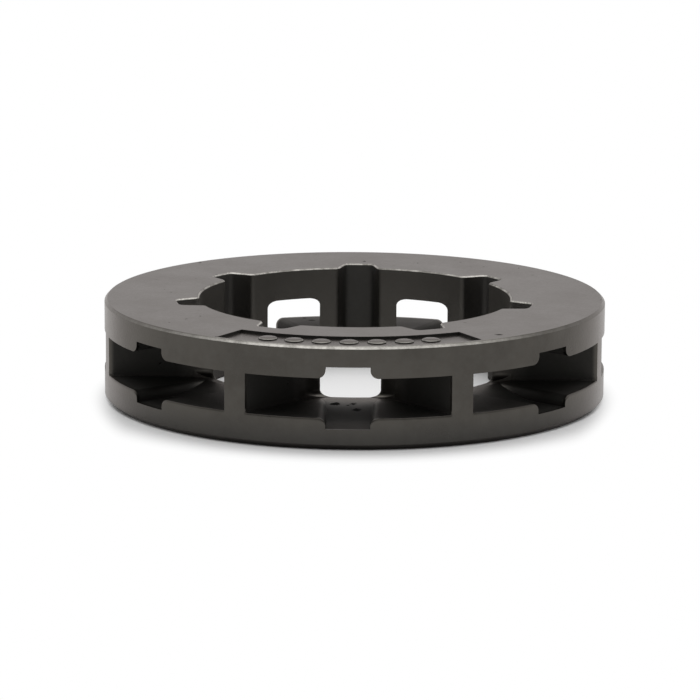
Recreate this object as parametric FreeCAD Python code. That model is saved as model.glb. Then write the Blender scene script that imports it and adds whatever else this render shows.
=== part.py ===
"""Chainsaw rim sprocket: one steel ring with two flanges joined by seven teeth.

The chain's drive tangs run in the slot between the flanges and are pushed by the teeth. The ring slides
along a splined hub, so its bore has wide lands and narrow grooves, one groove behind each tooth.

Frame: millimetres, Z up along the bore axis, origin at the middle of the lower face.
A chip window faces -Y, and the marking recess in the upper face lies above it.
"""
import FreeCAD
import Part

import math
import os

# Driving dimensions, in millimetres and degrees

tooth_count = 7

outer_diameter = 30.6
slot_height = 2.35
flange_thickness = 1.9
upper_edge_chamfer = 0.17
lower_edge_chamfer = 0.32

tooth_tip_width = 1.36
gullet_round_radius = 3.5
gullet_corner_radius = 0.45

bore_diameter = 19.05
bore_edge_chamfer = 0.08
spline_depth = 1.42
spline_mouth_width = 2.5
spline_root_width = 1.7
spline_mouth_radius = 0.35
spline_root_radius = 0.35
chip_hole_width = 3.6

notch_width = 2.6
notch_step = 0.67
notch_lip = 0.45
notch_ramp_angle = 15.0
notch_ramp_radius = 3.5
notch_shoulder_radius = 0.48

recess_width = 2.6
recess_depth = 0.18
recess_span = 62.0
recess_ridge = 0.15

# How far a cutting shape stands out past the surface that it cuts through
cut_margin = 1.0

# Sizes that follow from the driving dimensions

outer_radius = outer_diameter / 2
bore_radius = bore_diameter / 2
thickness = slot_height + 2 * flange_thickness
half_slot = slot_height / 2
slot_floor = flange_thickness
tooth_step = 360.0 / tooth_count
spline_slope = (spline_mouth_width - spline_root_width) / (2 * spline_depth)
spline_stretch = math.hypot(1, spline_slope)
notch_start = bore_radius + notch_lip
notch_half_height = half_slot + notch_step

AXIS = FreeCAD.Vector(0, 0, 1)
CENTRE = FreeCAD.Vector(0, 0, 0)
RADIAL = FreeCAD.Vector(0, -1, 0)


def at(across, outward, height):
    """A point given by its distance across a window, outward from the axis and up from the lower face."""
    return FreeCAD.Vector(across, -outward, height)


def from_middle(across, outward, rise):
    """A point whose height is given from the plane midway between the two flanges."""
    return at(across, outward, thickness / 2 + rise)


def line(start, end):
    return Part.LineSegment(start, end).toShape()


def arc(start, middle, end):
    return Part.Arc(start, middle, end).toShape()


def closed_face(edges):
    return Part.Face(Part.Wire(Part.__sortEdges__(edges)))


def around(tool):
    """Copies of a cutting shape, one for each tooth pitch."""
    copies = []
    for index in range(tooth_count):
        copy = tool.copy()
        copy.rotate(CENTRE, AXIS, index * tooth_step)
        copies.append(copy)
    return copies


def ring_blank():
    """The plain disc with its two outer edges chamfered, before anything is cut from it."""
    section = [
        at(0, 0, 0),
        at(0, outer_radius - lower_edge_chamfer, 0),
        at(0, outer_radius, lower_edge_chamfer),
        at(0, outer_radius, thickness - upper_edge_chamfer),
        at(0, outer_radius - upper_edge_chamfer, thickness),
        at(0, 0, thickness),
    ]
    outline = Part.makePolygon(section + section[:1])
    return Part.Face(outline).revolve(CENTRE, AXIS, 360)


def turned(across, outward, angle, height):
    """A point given across and outward as seen along a direction at an angle in degrees from -Y."""
    turn = math.radians(angle)
    cosine = math.cos(turn)
    sine = math.sin(turn)
    return at(across * cosine + outward * sine, outward * cosine - across * sine, height)


def along(start, bearing, distance):
    """The point a distance away from another, on a bearing that is counted from the outward direction."""
    return start[0] + distance * math.sin(bearing), start[1] + distance * math.cos(bearing)


def groove_side(grow, outward):
    """Half the groove's width at a distance from the axis, with the whole profile grown by an offset."""
    return spline_mouth_width / 2 - spline_slope * (outward - bore_radius) + grow * spline_stretch


def groove_half(grow):
    """One side of a groove as points across and outward, from the land to the middle of the root.

    The land runs into the groove's side by a convex round, and the side into the flat root by a fillet.
    """
    land = bore_radius + grow
    root = bore_radius + spline_depth + grow
    mouth_radius = spline_mouth_radius - grow
    root_radius = spline_root_radius + grow
    side_bearing = math.atan2(1, spline_slope)

    reach = land + mouth_radius
    offset = groove_side(grow + mouth_radius, 0) / spline_stretch
    bearing = math.asin(offset / reach) - math.atan(spline_slope)
    mouth_centre = along((0, 0), bearing, reach)
    land_end = along((0, 0), bearing, land)
    mouth_middle = along(mouth_centre, (bearing + side_bearing) / 2, -mouth_radius)
    side_start = along(mouth_centre, side_bearing, -mouth_radius)

    fillet_centre = (groove_side(grow - root_radius, root - root_radius), root - root_radius)
    side_end = along(fillet_centre, side_bearing, root_radius)
    fillet_middle = along(fillet_centre, side_bearing / 2, root_radius)
    root_end = along(fillet_centre, 0, root_radius)
    return land_end, mouth_middle, side_start, side_end, fillet_middle, root_end


def spline_wire(grow, height):
    """The bore's outline: lands on one circle, and a tapered flat-bottomed groove behind each tooth."""
    half = groove_half(grow)
    land = bore_radius + grow
    edges = []
    for index in range(tooth_count):
        groove = (index + 0.5) * tooth_step
        sides = []
        for hand in (-1, 1):
            sides.append([turned(hand * across, outward, groove, height) for across, outward in half])
        for land_end, mouth_middle, side_start, side_end, fillet_middle, root_end in sides:
            edges.append(arc(land_end, mouth_middle, side_start))
            edges.append(line(side_start, side_end))
            edges.append(arc(side_end, fillet_middle, root_end))
        edges.append(line(sides[0][-1], sides[1][-1]))
        land_middle = turned(0, land, groove + tooth_step / 2, height)
        next_land_end = turned(-half[0][0], half[0][1], groove + tooth_step, height)
        edges.append(arc(sides[1][0], land_middle, next_land_end))
    return Part.Wire(Part.__sortEdges__(edges))


def bore_tools():
    """The splined bore and the small chamfers at its two mouths."""
    through = Part.Face(spline_wire(0, -cut_margin)).extrude(AXIS * (thickness + 2 * cut_margin))
    lower_wires = [spline_wire(bore_edge_chamfer, 0), spline_wire(0, bore_edge_chamfer)]
    upper_wires = [spline_wire(0, thickness - bore_edge_chamfer), spline_wire(bore_edge_chamfer, thickness)]
    lower_mouth = Part.makeLoft(lower_wires, True, True)
    upper_mouth = Part.makeLoft(upper_wires, True, True)
    return [through, lower_mouth, upper_mouth]


def gullet_centre():
    """How far out the gullet's round bottom is centred, for a chip hole of the given width in the bore."""
    half_hole = chip_hole_width / 2
    land_reach = math.sqrt(bore_radius ** 2 - half_hole ** 2)
    return land_reach + math.sqrt(gullet_round_radius ** 2 - half_hole ** 2)


def gullet_tools():
    """One gullet between two teeth: straight flanks that run tangent into a round bottom.

    The flanks meet the flanges squarely. In the round bottom the corners are eased, and the easing fades
    out towards the flanks.
    """
    centre = gullet_centre()
    bottom = centre - gullet_round_radius
    tip_angle = math.radians(tooth_step / 2) - math.asin(tooth_tip_width / 2 / outer_radius)
    tip_across = outer_radius * math.sin(tip_angle)
    tip_outward = outer_radius * math.cos(tip_angle)
    to_tip = math.hypot(tip_across, tip_outward - centre)
    tip_bearing = math.atan2(tip_outward - centre, tip_across)
    tangent_bearing = tip_bearing - math.acos(gullet_round_radius / to_tip)
    tangent_across = gullet_round_radius * math.cos(tangent_bearing)
    tangent_outward = centre + gullet_round_radius * math.sin(tangent_bearing)
    end_outward = outer_radius + cut_margin
    flank_lean = (tip_across - tangent_across) / (tip_outward - tangent_outward)
    end_across = tip_across + flank_lean * (end_outward - tip_outward)

    left_end = at(-end_across, end_outward, slot_floor)
    left_tangent = at(-tangent_across, tangent_outward, slot_floor)
    eased_bottom = at(0, bottom + gullet_corner_radius, slot_floor)
    right_tangent = at(tangent_across, tangent_outward, slot_floor)
    right_end = at(end_across, end_outward, slot_floor)
    outline = [
        line(left_end, left_tangent),
        arc(left_tangent, eased_bottom, right_tangent),
        line(right_tangent, right_end),
        line(right_end, left_end),
    ]
    flanks = closed_face(outline).extrude(AXIS * slot_height)
    round_bottom = Part.makeCylinder(gullet_round_radius, slot_height, at(0, centre, slot_floor), AXIS)
    rims = [edge for edge in round_bottom.Edges if edge.BoundBox.ZLength < gullet_corner_radius]
    return [flanks, round_bottom.makeFillet(gullet_corner_radius, rims)]


def notch_section():
    """The channel as seen from outside: a step into both flanges, with rounded shoulders at the slot."""
    side = notch_width / 2
    shoulder = side + notch_shoulder_radius
    turn_end = half_slot + notch_shoulder_radius
    lean = notch_shoulder_radius * (1 - math.sqrt(0.5))

    edges = []
    for hand in (1, -1):
        mouths = []
        for sign in (1, -1):
            mouth = from_middle(hand * shoulder, notch_start, sign * half_slot)
            midway = from_middle(hand * (side + lean), notch_start, sign * (half_slot + lean))
            wall = from_middle(hand * side, notch_start, sign * turn_end)
            corner = from_middle(hand * side, notch_start, sign * notch_half_height)
            edges.append(arc(mouth, midway, wall))
            edges.append(line(wall, corner))
            mouths.append(mouth)
        edges.append(line(mouths[0], mouths[1]))
    for rise in (notch_half_height, -notch_half_height):
        edges.append(line(from_middle(-side, notch_start, rise), from_middle(side, notch_start, rise)))
    return closed_face(edges)


def notch_profile(across):
    """The channel as seen from the side: a ramp falls from the window and runs out into the full depth."""
    angle = math.radians(notch_ramp_angle)
    arc_rise = notch_ramp_radius * (1 - math.cos(angle))
    arc_run = notch_ramp_radius * math.sin(angle)
    ramp_end = notch_start + (notch_step - arc_rise) / math.tan(angle)
    level_start = ramp_end + arc_run
    midway = level_start - notch_ramp_radius * math.sin(angle / 2)
    midway_rise = notch_ramp_radius * (1 - math.cos(angle / 2))
    outer_end = level_start + outer_radius

    edges = []
    for sign in (1, -1):
        ramp_top = from_middle(across, notch_start, sign * half_slot)
        ramp_foot = from_middle(across, ramp_end, sign * (notch_half_height - arc_rise))
        bend = from_middle(across, midway, sign * (notch_half_height - midway_rise))
        level = from_middle(across, level_start, sign * notch_half_height)
        edges.append(line(ramp_top, ramp_foot))
        edges.append(arc(ramp_foot, bend, level))
        edges.append(line(level, from_middle(across, outer_end, sign * notch_half_height)))
    for outward, rise in ((notch_start, half_slot), (outer_end, notch_half_height)):
        edges.append(line(from_middle(across, outward, -rise), from_middle(across, outward, rise)))
    return closed_face(edges)


def notch_tool():
    """The channel cut outward through both flanges in the middle of a window."""
    half_width = notch_width / 2 + notch_shoulder_radius + cut_margin
    bar = notch_section().extrude(RADIAL * (outer_radius - notch_start + cut_margin))
    ramp = notch_profile(-half_width).extrude(FreeCAD.Vector(2 * half_width, 0, 0))
    return bar.common(ramp)


def recess_tool():
    """The shallow marking recess in the upper face, above the window that faces -Y.

    A thin ridge is left between it and the chamfer at the rim.
    """
    ridge_radius = outer_radius - upper_edge_chamfer - recess_ridge
    inner_radius = ridge_radius - recess_width
    section = [
        at(0, inner_radius, thickness - recess_depth),
        at(0, ridge_radius, thickness - recess_depth),
        at(0, ridge_radius, thickness + cut_margin),
        at(0, inner_radius, thickness + cut_margin),
    ]
    outline = Part.makePolygon(section + section[:1])
    sector = Part.Face(outline).revolve(CENTRE, AXIS, recess_span)
    sector.rotate(CENTRE, AXIS, -recess_span / 2)
    return sector


def rim_sprocket():
    """The finished ring as one solid."""
    tools = bore_tools()
    for tool in gullet_tools():
        tools += around(tool)
    tools += around(notch_tool())
    tools.append(recess_tool())
    cut = ring_blank().cut(tools)
    return cut.removeSplitter()


def main():
    sprocket = rim_sprocket()
    box = sprocket.BoundBox
    print("solids", len(sprocket.Solids), "valid", sprocket.isValid(), "faces", len(sprocket.Faces))
    print("box", round(box.XLength, 3), round(box.YLength, 3), round(box.ZLength, 3))
    print("lowest", round(box.ZMin, 3))
    print("volume in cubic centimetres", round(sprocket.Volume / 1000, 4))
    os.makedirs("parts", exist_ok=True)
    sprocket.Solids[0].exportStep("parts/rim_sprocket.step")


main()
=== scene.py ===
import math

import bmesh
import bpy
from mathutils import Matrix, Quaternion, Vector


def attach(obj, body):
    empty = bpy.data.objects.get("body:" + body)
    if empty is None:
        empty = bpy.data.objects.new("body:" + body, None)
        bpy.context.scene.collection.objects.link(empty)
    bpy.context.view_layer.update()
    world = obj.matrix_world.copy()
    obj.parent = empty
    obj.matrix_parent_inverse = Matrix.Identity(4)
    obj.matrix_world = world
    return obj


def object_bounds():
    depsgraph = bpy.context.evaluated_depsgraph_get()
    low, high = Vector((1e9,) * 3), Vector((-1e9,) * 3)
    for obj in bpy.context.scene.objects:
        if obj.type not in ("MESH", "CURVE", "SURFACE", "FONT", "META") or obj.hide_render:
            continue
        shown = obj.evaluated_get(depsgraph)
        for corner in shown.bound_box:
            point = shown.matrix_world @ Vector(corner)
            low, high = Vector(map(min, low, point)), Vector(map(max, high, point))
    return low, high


# Looks of the chainsaw rim sprocket: blackened cast steel with worn edges, on a white floor.
# Lengths are in metres and angles in degrees. The frame is that of the solids: Z up along the bore,
# the lower face at zero, and the marking recess in the upper face towards -Y.

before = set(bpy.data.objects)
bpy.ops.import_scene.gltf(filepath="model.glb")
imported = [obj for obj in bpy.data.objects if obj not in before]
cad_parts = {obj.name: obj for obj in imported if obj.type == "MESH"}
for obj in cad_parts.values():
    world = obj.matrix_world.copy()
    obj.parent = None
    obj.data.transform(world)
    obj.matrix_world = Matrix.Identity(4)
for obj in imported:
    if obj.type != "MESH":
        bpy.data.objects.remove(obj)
cad_low, cad_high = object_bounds()

# The ring: its radius and height come from the frame, and the rest is as in the solids.

ring_radius = -cad_low[1]
ring_height = cad_high[2]
bore_radius = 0.009525
slot_floor = 0.0019
recess_depth = 0.00018
tooth_count = 7

# The row of plain pips in the recess, one for each tooth. Each is a flattened dome.

pip_radius = 0.00058
pip_height = 0.00015
pip_sink = 0.00003
pip_circle_radius = 0.01325
pip_step = 7.0
pip_sides = 24
pip_rings = 6
pip_fullness = 0.6

# Colours of the steel. The walls and the faces have two, which meet in soft patches.

wall_colours = ((0.068, 0.063, 0.056, 1), (0.084, 0.078, 0.069, 1))
face_colours = ((0.076, 0.069, 0.064, 1), (0.092, 0.084, 0.078, 1))
mottle_colour = (0.100, 0.096, 0.088, 1)
land_colour = (0.100, 0.094, 0.085, 1)
# Painted shade: a darker grey laid on towards the lower face.
painted_shade_colour = (0.036, 0.036, 0.036, 1)
cast_colour = (0.056, 0.054, 0.050, 1)
# Painted light: a lighter colour in the channels near the windows and in the bore's grooves.
painted_light_colour = (0.115, 0.112, 0.108, 1)
pit_colour = (0.010, 0.010, 0.009, 1)
worn_colour = (0.460, 0.445, 0.415, 1)
sheen_tint = (1.0, 0.965, 0.95, 1)

# How much of a look there is where it is strongest, and how much of the channels' painted light the side
# channels beside the front one have.

mottle_share = 0.25
land_share = 0.70
painted_shade_share = 0.45
groove_share = 0.22
side_channel_share = 0.20

# Noises: the width of the features, the levels of finer detail, and the weight of each finer level.

patch_noise = (0.004, 4.0, 0.60)
mottle_noise = (0.0007, 5.0, 0.65)
grain_noise = (0.00016, 3.0, 0.60)
pit_noise = (0.0005, 2.0, 0.50)
fleck_noise = (0.0010, 6.0, 0.85)
ragged_noise = (0.0003, 2.0, 0.50)

# Levels of a noise between which its look comes in, and the middle of a noise in three parts.

patch_colour_span = (0.35, 0.65)
patch_rough_span = (0.30, 0.70)
mottle_span = (0.35, 0.75)
pit_span = (0.74, 0.79)
fleck_span = (0.36, 0.64)
noise_middle = (0.5, 0.5, 0.5)

# How level a surface is, from 0 on an upright wall to 1 on a flat face, where its look comes in or ends.

face_span = (0.40, 0.60)
flat_span = (0.90, 0.98)
floor_span = (0.50, 0.90)
slope_start_span = (0.45, 0.60)
slope_end_span = (0.80, 0.95)

# Heights and distances between which a look comes in or ends.

top_edge_span = (ring_height - 0.00030, ring_height - 0.00025)
face_reach_span = (ring_height / 2 - 0.00030, ring_height / 2 - 0.00025)
land_span = (bore_radius + 0.00005, bore_radius + 0.00015)
skin_inner_span = (bore_radius + 0.0002, bore_radius + 0.0022)
skin_outer_span = (ring_radius - 0.00035, ring_radius - 0.00006)
# Where the painted shade towards the lower face fades out.
painted_shade_span = (0.0005, 0.0021)
groove_root_span = (bore_radius + 0.0014, bore_radius + 0.0020)
channel_depth_span = (slot_floor - 0.00012, slot_floor - 0.00004)
channel_radius_span = (0.0122, 0.0140)
channel_side_span = (0.0022, 0.0036)

# A wave about the bore is -1 in the middle of each groove and 1 in the middle of each window.
# The painted light of the grooves ends between these two levels of it.

groove_wave_span = (-0.5, -0.3)

# Dark casting pits that show singly: the place and the radius of each. The outline of each is ragged.

casting_pits = [
    ((0.00870, -0.01130, ring_height), 0.00018),
    ((-0.00465, -0.01457, ring_height - 0.00012), 0.00007),
    ((0.00018, -0.01057, 0.00174), 0.00013),
    ((0.00042, -0.01131, 0.00154), 0.00021),
    ((-0.00087, -0.01059, 0.00173), 0.00022),
    ((-0.00015, -0.01079, 0.00168), 0.00010),
    ((-0.00365, 0.01435, slot_floor), 0.00014),
    ((-0.00315, 0.01360, slot_floor), 0.00018),
]
pit_core = 0.5
pit_border = 1.3
ragged_reach = 0.0005

# Wear on the upper edges: strongest at the front of the rim, and in flecks about the bore.

rim_wear_span = (ring_radius - 0.00015, ring_radius - 0.00009)
rim_wear_inner_share = 0.45
rim_wear_middle = -0.0012
rim_wear_length_span = (0.0008, 0.0150)
rim_wear_end_share = 0.08
rim_fleck_share = 0.55
bore_wear_span = (0.0118, 0.0122)
bore_fleck_share = 0.90

# Roughness of the plain steel, what each look adds to it, and how much less metallic the painted light in
# the channels and grooves is.

plain_roughness = (0.24, 0.30)
grain_roughness = 0.08
face_roughness = 0.05
cast_wall_roughness = 0.40
cast_floor_roughness = 0.28
land_roughness = 0.25
painted_light_roughness = 0.25
pit_roughness = 0.60
painted_light_dullness = 0.5

# Relief of the grain and the pits, and the soft edges. The slot's lower edge at the rim is the softest.

pit_relief = -6.0
relief_strength = 0.35
relief_depth = 0.00002
edge_radius = 0.00003
slot_edge_radius = 0.00018
slot_edge_height_span = (0.00018, 0.00030)
slot_edge_rim_span = (ring_radius - 0.0010, ring_radius - 0.0006)
edge_samples = 8

# The floor keeps the shadow near the ring, less far out at the two sides, and is plain white beyond it.

floor_half = 3.0
floor_colour = (0.90, 0.90, 0.90, 1)
shadow_span = (0.0156, 0.0190)
shadow_side_span = (0.0130, 0.0165)
shadow_side_cut = 0.0026

# The room's light, from the front to the back, and the lamp overhead.

room_span = (-0.7, 0.6)
front_light = 0.33
back_light = 0.90
overhead_place = (0.02, 0.05, 0.60)
overhead_size = 0.92
overhead_watts = 2.4

# The camera, fitted to the photograph.

camera_azimuth = 1.366
camera_elevation = 11.642
camera_distance = 0.24882
camera_roll = 0.36
camera_sensor = 36
camera_lens = 208.48
camera_shift = (-0.00639, -0.00643)
camera_clip = (0.01, 20)


class Graph:
    """A material's or world's node tree, with short calls for the nodes used here."""

    def __init__(self, tree):
        self.tree = tree
        self.tree.nodes.clear()

    def node(self, kind, **settings):
        made = self.tree.nodes.new(kind)
        for name, value in settings.items():
            setattr(made, name, value)
        return made

    def put(self, value, socket):
        """Sets a socket to a number or colour, or links it to another node's output."""
        if isinstance(value, bpy.types.NodeSocket):
            self.tree.links.new(value, socket)
        else:
            socket.default_value = value

    def math(self, operation, first, second=0.0, third=0.0):
        made = self.node("ShaderNodeMath", operation=operation)
        self.put(first, made.inputs[0])
        self.put(second, made.inputs[1])
        self.put(third, made.inputs[2])
        return made.outputs[0]

    def times(self, first, *others):
        """The product of two or more values."""
        for other in others:
            first = self.math("MULTIPLY", first, other)
        return first

    def without(self, value):
        """What a share leaves of one."""
        return self.math("SUBTRACT", 1.0, value)

    def apart(self, value, middle):
        """How far a value is from a middle, on either side of it."""
        return self.math("ABSOLUTE", self.math("SUBTRACT", value, middle))

    def length(self, first, second):
        """The length of the slanting side of a right triangle."""
        square = self.math("MULTIPLY", first, first)
        return self.math("SQRT", self.math("MULTIPLY_ADD", second, second, square))

    def split(self, vector):
        """The three parts of a vector."""
        made = self.node("ShaderNodeSeparateXYZ")
        self.put(vector, made.inputs[0])
        return made.outputs["X"], made.outputs["Y"], made.outputs["Z"]

    def vector_math(self, operation, first, second, third=(0.0, 0.0, 0.0)):
        made = self.node("ShaderNodeVectorMath", operation=operation)
        self.put(first, made.inputs[0])
        self.put(second, made.inputs[1])
        self.put(third, made.inputs[2])
        return made

    def ramp(self, value, span, start=0.0, end=1.0):
        """A smooth step from start to end while the value goes through the span."""
        made = self.node("ShaderNodeMapRange", interpolation_type="SMOOTHSTEP")
        self.put(value, made.inputs["Value"])
        made.inputs["From Min"].default_value = span[0]
        made.inputs["From Max"].default_value = span[1]
        made.inputs["To Min"].default_value = start
        made.inputs["To Max"].default_value = end
        return made.outputs["Result"]

    def fall(self, value, span, start=1.0):
        """A smooth step from start down to nothing while the value goes through the span."""
        return self.ramp(value, span, start, 0.0)

    def noise(self, vector, kind, output="Fac"):
        grain, detail, roughness = kind
        made = self.node("ShaderNodeTexNoise")
        self.put(vector, made.inputs["Vector"])
        made.inputs["Scale"].default_value = 1.0 / grain
        made.inputs["Detail"].default_value = detail
        made.inputs["Roughness"].default_value = roughness
        return made.outputs[output]

    def mix(self, share, first, second):
        """A colour between first and second."""
        made = self.node("ShaderNodeMix", data_type="RGBA")
        self.put(share, made.inputs["Factor"])
        self.put(first, made.inputs["A"])
        self.put(second, made.inputs["B"])
        return made.outputs["Result"]


class Steel(Graph):
    """The steel's node tree: where a point lies on the ring, and how much of each look it has there."""

    def __init__(self, tree):
        super().__init__(tree)
        self.place = self.node("ShaderNodeTexCoord").outputs["Object"]
        self.x, self.y, self.height = self.split(self.place)
        self.radius = self.length(self.x, self.y)
        self.aside = self.math("ABSOLUTE", self.x)
        self.upward = self.split(self.node("ShaderNodeNewGeometry").outputs["True Normal"])[2]
        self.levelness = self.math("ABSOLUTE", self.upward)
        self.patches = self.noise(self.place, patch_noise)
        self.grain = self.noise(self.place, grain_noise)

        self.flat = self.ramp(self.levelness, flat_span)
        self.off_land = self.ramp(self.radius, land_span)
        self.land = self.times(self.without(self.off_land), land_share)
        self.off_face = self.without(self.face_area())
        self.inside = self.inside_area()
        self.skin = self.times(self.inside, self.off_face)
        # Painted light in the channels and grooves.
        self.painted_light = self.math("MAXIMUM", self.channel_area(), self.groove_area())
        self.pits = self.pit_area()
        self.worn = self.worn_area()

    def face_area(self):
        """The upper and the lower face, with their chamfers."""
        from_middle = self.apart(self.height, ring_height / 2)
        by_face = self.ramp(from_middle, face_reach_span)
        return self.times(by_face, self.ramp(self.levelness, face_span))

    def inside_area(self):
        """Everything between the bore and the rim."""
        return self.times(self.ramp(self.radius, skin_inner_span), self.fall(self.radius, skin_outer_span))

    def channel_area(self):
        """Painted light in the channels below the slot's floor: lighter near their windows, where light
        comes in, and in the front one above all.
        """
        below = self.fall(self.height, channel_depth_span)
        by_window = self.fall(self.radius, channel_radius_span)
        in_front = self.ramp(self.aside, channel_side_span, 1.0, side_channel_share)
        return self.times(self.skin, below, by_window, in_front)

    def groove_area(self):
        """Painted light in the bore's grooves, which lie half a pitch from the windows: it lightens their
        dark flanks.
        """
        turn = self.math("ARCTAN2", self.x, self.times(self.y, -1.0))
        wave = self.math("COSINE", self.times(turn, float(tooth_count)))
        to_root = self.fall(self.radius, groove_root_span, groove_share)
        return self.times(self.off_land, to_root, self.fall(wave, groove_wave_span), self.off_face)

    def pit_area(self):
        """Fine scattered pits, and the casting pits that show singly."""
        pits = self.times(self.ramp(self.noise(self.place, pit_noise), pit_span), self.inside)
        shift = self.vector_math("SUBTRACT", self.noise(self.place, ragged_noise, "Color"), noise_middle)
        reach = (ragged_reach, ragged_reach, ragged_reach)
        ragged = self.vector_math("MULTIPLY_ADD", shift.outputs["Vector"], reach, self.place)
        for point, size in casting_pits:
            gap = self.vector_math("DISTANCE", ragged.outputs["Vector"], point)
            spot = self.fall(gap.outputs["Value"], (size * pit_core, size * pit_border))
            pits = self.math("MAXIMUM", pits, spot)
        return pits

    def worn_area(self):
        """The chamfers of the upper face, where the blackening is rubbed off."""
        slope = self.times(self.ramp(self.levelness, slope_start_span),
                           self.fall(self.levelness, slope_end_span))
        upper = self.ramp(self.height, top_edge_span)
        flecks = self.ramp(self.noise(self.place, fleck_noise), fleck_span)
        outer = self.ramp(self.radius, rim_wear_span, rim_wear_inner_share)
        along = self.apart(self.x, rim_wear_middle)
        ends = self.ramp(along, rim_wear_length_span, 1.0, rim_wear_end_share)
        rim_flecks = self.math("MULTIPLY_ADD", flecks, rim_fleck_share, 1.0 - rim_fleck_share)
        bore_flecks = self.math("MULTIPLY_ADD", flecks, bore_fleck_share, 1.0 - bore_fleck_share)
        at_rim = self.times(outer, ends, rim_flecks)
        at_bore = self.times(self.fall(self.radius, bore_wear_span), bore_flecks)
        reach = self.math("MAXIMUM", at_rim, at_bore)
        return self.times(slope, upper, reach, self.without(self.pits))

    def colour(self):
        """The colours, laid one over the other from the plain steel to the bright worn edges, with painted
        light in the channels and grooves and painted shade towards the lower face.
        """
        patch = self.ramp(self.patches, patch_colour_span)
        mottle = self.ramp(self.noise(self.place, mottle_noise), mottle_span, 0.0, mottle_share)
        layers = [
            (mottle, mottle_colour),
            (self.land, land_colour),
            # Painted shade: darker towards the lower face, where the wall shows the floor's shadow.
            (self.fall(self.height, painted_shade_span, painted_shade_share), painted_shade_colour),
            (self.skin, cast_colour),
            # Painted light in the channels and grooves.
            (self.painted_light, painted_light_colour),
            (self.pits, pit_colour),
            (self.worn, worn_colour),
        ]
        colour = self.mix(self.flat, self.mix(patch, *wall_colours), self.mix(patch, *face_colours))
        for share, layer in layers:
            colour = self.mix(share, colour, layer)
        return colour

    def roughness(self):
        cast_roughness = self.ramp(self.upward, floor_span, cast_wall_roughness, cast_floor_roughness)
        additions = [
            (self.grain, grain_roughness),
            (self.flat, face_roughness),
            (self.skin, cast_roughness),
            (self.land, land_roughness),
            (self.painted_light, painted_light_roughness),
            (self.pits, pit_roughness),
        ]
        rough = self.ramp(self.patches, patch_rough_span, *plain_roughness)
        for share, addition in additions:
            rough = self.math("MULTIPLY_ADD", share, addition, rough)
        return self.math("MINIMUM", rough, 1.0)

    def normal(self):
        """The fine relief, on soft edges."""
        by_slot = self.fall(self.apart(self.height, slot_floor), slot_edge_height_span)
        by_rim = self.ramp(self.radius, slot_edge_rim_span)
        softened = self.node("ShaderNodeBevel", samples=edge_samples)
        softness = self.math("MULTIPLY_ADD", self.times(by_slot, by_rim), slot_edge_radius, edge_radius)
        self.put(softness, softened.inputs["Radius"])
        bump = self.node("ShaderNodeBump")
        bump.inputs["Strength"].default_value = relief_strength
        bump.inputs["Distance"].default_value = relief_depth
        self.put(self.math("MULTIPLY_ADD", self.pits, pit_relief, self.grain), bump.inputs["Height"])
        self.put(softened.outputs["Normal"], bump.inputs["Normal"])
        return bump.outputs["Normal"]


def steel_material():
    """Blackened cast steel: machined walls and faces, a darker cast skin inside, and bright worn edges."""
    material = bpy.data.materials.new("blackened_steel")
    material.use_nodes = True
    steel = Steel(material.node_tree)
    shader = steel.node("ShaderNodeBsdfPrincipled")
    steel.put(steel.colour(), shader.inputs["Base Color"])
    steel.put(steel.roughness(), shader.inputs["Roughness"])
    steel.put(steel.normal(), shader.inputs["Normal"])
    # The painted light in the channels and grooves is also less metallic.
    steel.put(steel.math("MULTIPLY_ADD", steel.painted_light, -painted_light_dullness, 1.0), shader.inputs["Metallic"])
    shader.inputs["Specular Tint"].default_value = sheen_tint
    output = steel.node("ShaderNodeOutputMaterial")
    steel.put(shader.outputs["BSDF"], output.inputs["Surface"])
    return material


def pip_rows(shape, middle):
    """Circles of vertices from a pip's sunk foot up towards its top."""
    rows = []
    for ring in range(pip_rings - 1):
        bend = ring / (pip_rings - 1) * math.pi / 2
        reach = pip_radius * math.cos(bend) ** pip_fullness
        level = pip_height * math.sin(bend) if ring else -pip_sink
        row = []
        for side in range(pip_sides):
            turn = 2 * math.pi * side / pip_sides
            offset = Vector((reach * math.cos(turn), reach * math.sin(turn), level))
            row.append(shape.verts.new(middle + offset))
        rows.append(row)
    return rows


def add_pip(shape, middle):
    """One closed pip, with its foot just below the recess floor."""
    rows = pip_rows(shape, middle)
    top = shape.verts.new(middle + Vector((0, 0, pip_height)))
    for side in range(pip_sides):
        after = (side + 1) % pip_sides
        for lower, upper in zip(rows, rows[1:]):
            shape.faces.new((lower[side], lower[after], upper[after], upper[side]))
        shape.faces.new((rows[-1][side], rows[-1][after], top))
    shape.faces.new(list(reversed(rows[0])))


def add_pips(material):
    """A row of plain raised pips on the recess floor, about the middle of the recess."""
    mesh = bpy.data.meshes.new("recess_pips")
    shape = bmesh.new()
    floor = ring_height - recess_depth
    for index in range(tooth_count):
        turn = math.radians((index - (tooth_count - 1) / 2) * pip_step)
        across = pip_circle_radius * math.sin(turn)
        outward = pip_circle_radius * math.cos(turn)
        add_pip(shape, Vector((across, -outward, floor)))
    shape.to_mesh(mesh)
    shape.free()
    for face in mesh.polygons:
        face.use_smooth = True
    pips = bpy.data.objects.new("recess_pips", mesh)
    bpy.context.scene.collection.objects.link(pips)
    mesh.materials.append(material)
    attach(pips, "root")


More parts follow.
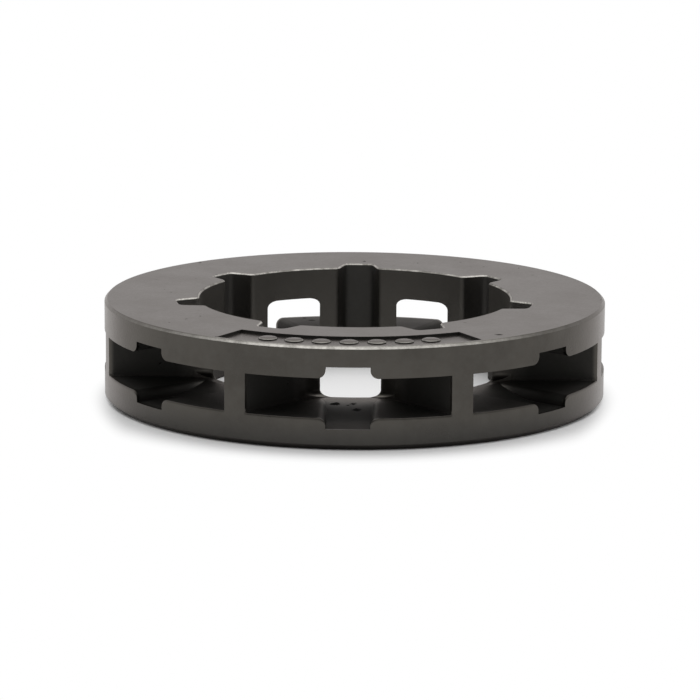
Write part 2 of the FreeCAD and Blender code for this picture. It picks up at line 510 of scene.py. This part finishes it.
def floor_material():
    """Matt white near the ring, where the shadow lies, and plain white beyond."""
    material = bpy.data.materials.new("white_floor")
    material.use_nodes = True
    graph = Graph(material.node_tree)
    matt = graph.node("ShaderNodeBsdfDiffuse")
    matt.inputs["Color"].default_value = floor_colour
    plain = graph.node("ShaderNodeEmission")

    x, y = graph.split(graph.node("ShaderNodeTexCoord").outputs["Object"])[:2]
    cut = graph.ramp(graph.math("ABSOLUTE", x), shadow_side_span, 0.0, shadow_side_cut)
    beyond = graph.ramp(graph.math("ADD", graph.length(x, y), cut), shadow_span)
    ray = graph.node("ShaderNodeLightPath")
    shown = graph.math("MAXIMUM", ray.outputs["Is Camera Ray"], ray.outputs["Is Glossy Ray"])
    shown = graph.math("MAXIMUM", shown, ray.outputs["Is Transmission Ray"])

    blend = graph.node("ShaderNodeMixShader")
    graph.put(graph.times(beyond, shown), blend.inputs["Fac"])
    graph.put(matt.outputs["BSDF"], blend.inputs[1])
    graph.put(plain.outputs["Emission"], blend.inputs[2])
    output = graph.node("ShaderNodeOutputMaterial")
    graph.put(blend.outputs["Shader"], output.inputs["Surface"])
    return material


def add_floor():
    """A wide floor at the ring's lower face."""
    mesh = bpy.data.meshes.new("floor")
    half = floor_half
    corners = [(-half, -half, 0), (half, -half, 0), (half, half, 0), (-half, half, 0)]
    mesh.from_pydata(corners, [], [(0, 1, 2, 3)])
    mesh.materials.append(floor_material())
    floor = bpy.data.objects.new("floor", mesh)
    bpy.context.scene.collection.objects.link(floor)


def add_overhead_lamp():
    """A wide round lamp over the ring, turned towards it."""
    lamp = bpy.data.lights.new("overhead", "AREA")
    lamp.shape = "DISK"
    lamp.size = overhead_size
    lamp.energy = overhead_watts
    holder = bpy.data.objects.new("overhead", lamp)
    holder.location = overhead_place
    holder.rotation_mode = "QUATERNION"
    holder.rotation_quaternion = Vector(overhead_place).to_track_quat("Z", "Y")
    bpy.context.scene.collection.objects.link(holder)


def add_room():
    """A room that is bright behind the ring and dim in front."""
    world = bpy.data.worlds.new("studio")
    bpy.context.scene.world = world
    world.use_nodes = True
    graph = Graph(world.node_tree)
    backward = graph.split(graph.node("ShaderNodeTexCoord").outputs["Generated"])[1]
    room = graph.node("ShaderNodeBackground")
    room.inputs["Color"].default_value = (1, 1, 1, 1)
    graph.put(graph.ramp(backward, room_span, front_light, back_light), room.inputs["Strength"])
    output = graph.node("ShaderNodeOutputWorld")
    graph.put(room.outputs["Background"], output.inputs["Surface"])


def add_camera():
    """A long lens a little above the ring, as in the photograph."""
    azimuth = math.radians(camera_azimuth)
    elevation = math.radians(camera_elevation)
    level = math.cos(elevation)
    back = Vector((math.sin(azimuth) * level, -math.cos(azimuth) * level, math.sin(elevation)))
    data = bpy.data.cameras.new("camera")
    data.sensor_width = camera_sensor
    data.lens = camera_lens
    data.shift_x, data.shift_y = camera_shift
    data.clip_start, data.clip_end = camera_clip
    camera = bpy.data.objects.new("camera", data)
    camera.location = Vector((0, 0, ring_height / 2)) + back * camera_distance
    camera.rotation_mode = "QUATERNION"
    level_view = back.to_track_quat("Z", "Y")
    camera.rotation_quaternion = level_view @ Quaternion((0, 0, 1), math.radians(camera_roll))
    bpy.context.scene.collection.objects.link(camera)
    bpy.context.scene.camera = camera


blackened_steel = steel_material()
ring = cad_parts["rim_sprocket"]
ring.data.materials.clear()
ring.data.materials.append(blackened_steel)
add_pips(blackened_steel)
add_floor()
add_room()
add_overhead_lamp()
add_camera()
bpy.context.scene.view_settings.view_transform = "Standard"
